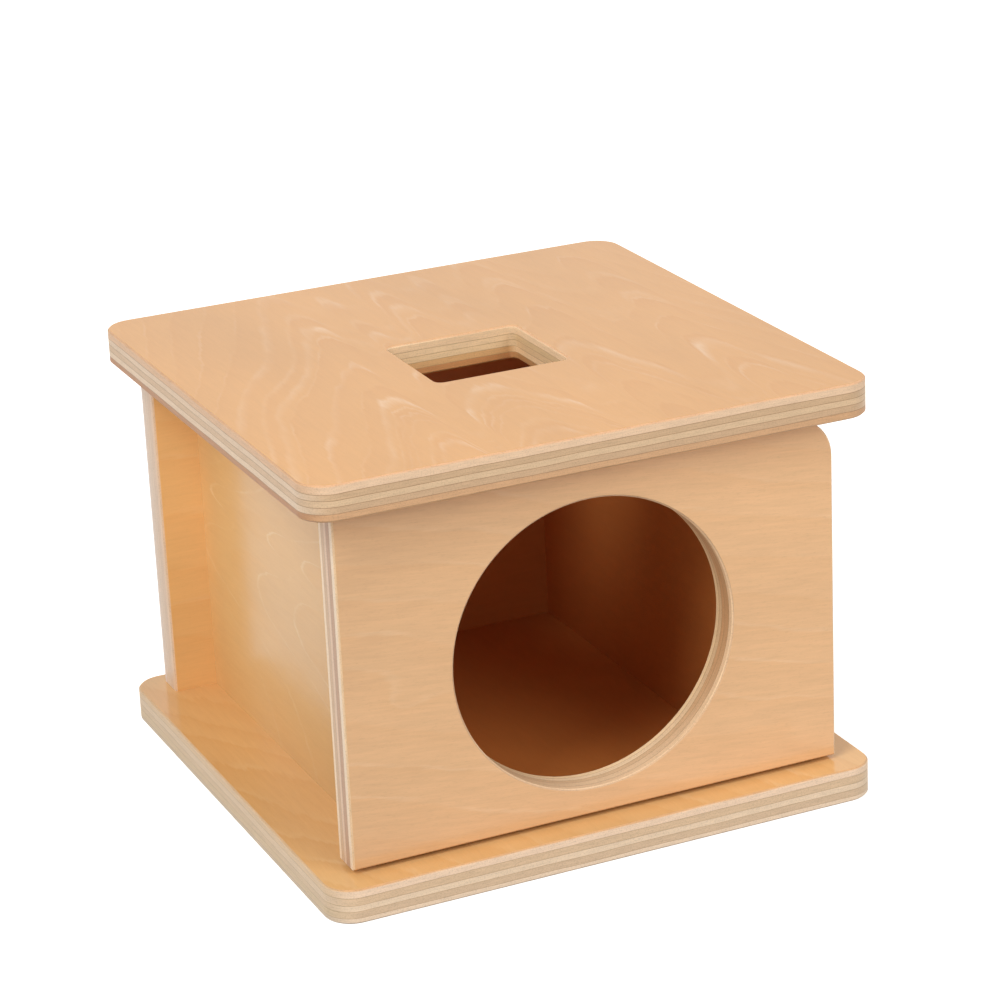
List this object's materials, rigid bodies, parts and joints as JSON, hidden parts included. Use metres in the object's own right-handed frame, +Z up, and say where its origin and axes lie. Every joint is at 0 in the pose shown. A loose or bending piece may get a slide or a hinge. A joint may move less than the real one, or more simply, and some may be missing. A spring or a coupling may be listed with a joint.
{
  "type": "object permanence box",
  "caption": "Plywood posting box: a block drops through the rectangular hole in the top and is taken out at the front, through a round hand hole in a pivoting door.",
  "frame": {"origin": "on the table, under the middle of the base plate", "axes": "+Z up, +X to the right along the front, +Y to the back"},
  "size_m": [0.198, 0.196, 0.148],
  "materials": {
    "base_plate": "clear lacquered birch plywood",
    "top_plate": "clear lacquered birch plywood",
    "back_panel": "clear lacquered birch plywood",
    "left_wall": "clear lacquered birch plywood",
    "right_wall": "clear lacquered birch plywood",
    "front_door": "clear lacquered birch plywood",
    "pin_steel": "ground steel pin",
    "dowel_beech": "bare beech"
  },
  "bodies": {
    "case": {"base_plate": "base_plate", "top_plate": "top_plate", "back_panel": "back_panel", "left_wall": "left_wall", "right_wall": "right_wall", "left_wall_lower_dowels": "dowel_beech", "left_wall_upper_dowels": "dowel_beech", "right_wall_lower_dowels": "dowel_beech", "right_wall_upper_dowels": "dowel_beech", "back_panel_lower_dowels": "dowel_beech", "back_panel_upper_dowels": "dowel_beech"},
    "door": {"front_door": "front_door", "lower_pivot_pin": "pin_steel", "upper_pivot_pin": "pin_steel"}
  },
  "joints": [
    {"name": "door_pivot", "type": "hinge", "parent": "case", "child": "door", "pos_m": [-0.08, -0.082, 0.074], "axis": [0, 0, -1], "range_deg": [0, 98]}
  ]
}
